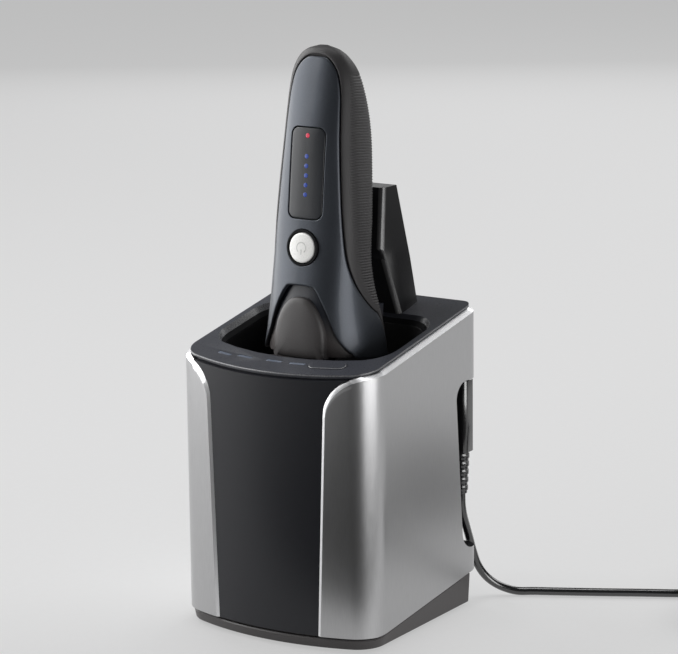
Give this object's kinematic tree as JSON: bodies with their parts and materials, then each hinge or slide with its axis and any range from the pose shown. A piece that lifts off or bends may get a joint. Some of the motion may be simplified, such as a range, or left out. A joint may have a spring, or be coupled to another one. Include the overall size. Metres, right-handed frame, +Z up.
{
  "type": "electric shaver in a cleaning and charging station",
  "caption": "Cordless foil shaver docked head down in a silver cleaning and charging station, with lift-out shaver, flexing head, buttons, water tank and coiled supply lead.",
  "frame": {"origin": "centre of the station's footprint on the table", "axes": "+X to the station's right, +Y to its back, +Z up"},
  "size_m": [0.2221, 0.2171, 0.2335],
  "materials": {
    "dark_base": "satin",
    "foot_rubber": "matte",
    "steel": "satin",
    "silver_shell": "satin",
    "black_panel": "satin",
    "slate_top": "satin",
    "lamp_lens": "gloss",
    "circuit_board": "satin",
    "tray_plastic": "satin",
    "gold_contact": "gloss",
    "pump_plastic": "satin",
    "ceramic": "matte",
    "tank_smoke": "gloss",
    "cartridge_blue": "gloss",
    "gunmetal_lacquer": "satin",
    "grip_rubber": "matte",
    "navy_recess": "satin",
    "rest_rubber": "matte",
    "display_smoke": "gloss",
    "white_button": "satin",
    "battery_wrap": "satin",
    "blade_steel": "polished",
    "foil_steel": "polished",
    "cord_black": "satin"
  },
  "bodies": {
    "station": {"base_tray": "dark_base", "rubber_feet": "foot_rubber", "base_screws": "steel", "left_shell": "silver_shell", "right_shell": "silver_shell", "front_panel": "black_panel", "rear_panel": "black_panel", "top_bezel": "slate_top", "lamp_windows": "lamp_lens", "control_board": "circuit_board", "cleaning_tray": "tray_plastic", "contact_tower": "black_panel", "cord_bay": "black_panel", "inlet_socket": "black_panel", "pump_housing": "pump_plastic", "pump_motor": "steel", "supply_pipe": "pump_plastic", "fan_housing": "tray_plastic", "heater": "ceramic", "dc_plug": "cord_black", "cord_lead": "cord_black", "cord_coil": "cord_black", "ac_adaptor": "cord_black"},
    "select_key": {"select_button": "slate_top"},
    "pin_left": {"contact_pin_left": "gold_contact"},
    "pin_right": {"contact_pin_right": "gold_contact"},
    "pump_rotor": {"pump_impeller": "pump_plastic"},
    "fan_rotor": {"fan_impeller": "pump_plastic"},
    "tank": {"water_tank": "tank_smoke", "tank_lid": "tray_plastic", "detergent_cartridge": "cartridge_blue"},
    "handle": {"front_cover": "gunmetal_lacquer", "rear_grip": "grip_rubber", "neck_panel": "navy_recess", "finger_rest": "rest_rubber", "display_window": "display_smoke", "indicator_lamps": "lamp_lens", "button_ring": "black_panel", "chassis": "tray_plastic", "main_board": "circuit_board", "battery": "battery_wrap", "charge_terminals": "gold_contact", "neck_seal": "grip_rubber", "trimmer_guide": "navy_recess"},
    "power_key": {"power_button": "white_button"},
    "trimmer": {"trimmer_slide": "steel"},
    "float": {"head_post": "tray_plastic"},
    "gimbal": {"gimbal_ring": "steel"},
    "head": {"head_frame": "navy_recess", "linear_motor": "steel", "foil_frame": "gunmetal_lacquer", "foils": "foil_steel"},
    "outer_blades": {"outer_blade_carrier": "blade_steel"},
    "center_blades": {"center_blade_carrier": "blade_steel"},
    "release_left": {"release_button_left": "tray_plastic"},
    "release_right": {"release_button_right": "tray_plastic"}
  },
  "joints": [
    {"name": "shaver_lift", "type": "slide", "parent": "station", "child": "handle", "axis": [0, -0.0995, 0.995], "range_m": [0, 0.115]},
    {"name": "power_button_press", "type": "slide", "parent": "handle", "child": "power_key", "axis": [0, 0.9945, -0.1045], "range_m": [0, 0.0008], "stiffness_N_per_m": 900},
    {"name": "trimmer_extend", "type": "slide", "parent": "handle", "child": "trimmer", "axis": [0, -0.1045, -0.9945], "range_m": [0, 0.007]},
    {"name": "head_float", "type": "slide", "parent": "handle", "child": "float", "axis": [0, 0.1045, 0.9945], "range_m": [0, 0.0012], "stiffness_N_per_m": 600},
    {"name": "head_tilt", "type": "hinge", "parent": "float", "child": "gimbal", "pos_m": [0, -0.00267, 0.09724], "axis": [1, 0, 0], "range_deg": [-5, 5], "stiffness_Nm_per_rad": 0.35},
    {"name": "head_swing", "type": "hinge", "parent": "gimbal", "child": "head", "pos_m": [0, -0.00267, 0.09724], "axis": [0, 0.9945, -0.1045], "range_deg": [-6, 6], "stiffness_Nm_per_rad": 0.35},
    {"name": "blade_drive", "type": "slide", "parent": "head", "child": "outer_blades", "axis": [1, 0, 0], "range_m": [-0.0008, 0.0008], "stiffness_N_per_m": 900},
    {"name": "blade_counter", "type": "slide", "parent": "head", "child": "center_blades", "axis": [1, 0, 0], "range_m": [-0.0008, 0.0008]},
    {"name": "release_left_press", "type": "slide", "parent": "head", "child": "release_left", "axis": [1, 0, 0], "range_m": [0, 0.001], "stiffness_N_per_m": 700},
    {"name": "release_right_press", "type": "slide", "parent": "head", "child": "release_right", "axis": [-1, 0, 0], "range_m": [0, 0.001], "stiffness_N_per_m": 700},
    {"name": "select_press", "type": "slide", "parent": "station", "child": "select_key", "axis": [0, 0.1805, -0.9836], "range_m": [0, 0.0006], "stiffness_N_per_m": 900, "springref_m": -0.0004},
    {"name": "pin_left_press", "type": "slide", "parent": "station", "child": "pin_left", "axis": [0, 0.9945, -0.1045], "range_m": [0, 0.0008], "stiffness_N_per_m": 500},
    {"name": "pin_right_press", "type": "slide", "parent": "station", "child": "pin_right", "axis": [0, 0.9945, -0.1045], "range_m": [0, 0.0008], "stiffness_N_per_m": 500},
    {"name": "tank_slide", "type": "slide", "parent": "station", "child": "tank", "axis": [0, 1, 0], "range_m": [0, 0.045]},
    {"name": "pump_spin", "type": "hinge", "parent": "station", "child": "pump_rotor", "pos_m": [-0.014, -0.024, 0.01], "axis": [0, 0, 1], "continuous": true},
    {"name": "fan_spin", "type": "hinge", "parent": "station", "child": "fan_rotor", "pos_m": [0.018, -0.0225, 0.01], "axis": [0, 0, 1], "continuous": true}
  ],
  "couplings": [
    {"joint": "blade_counter", "follows": "blade_drive", "ratio": -1}
  ]
}
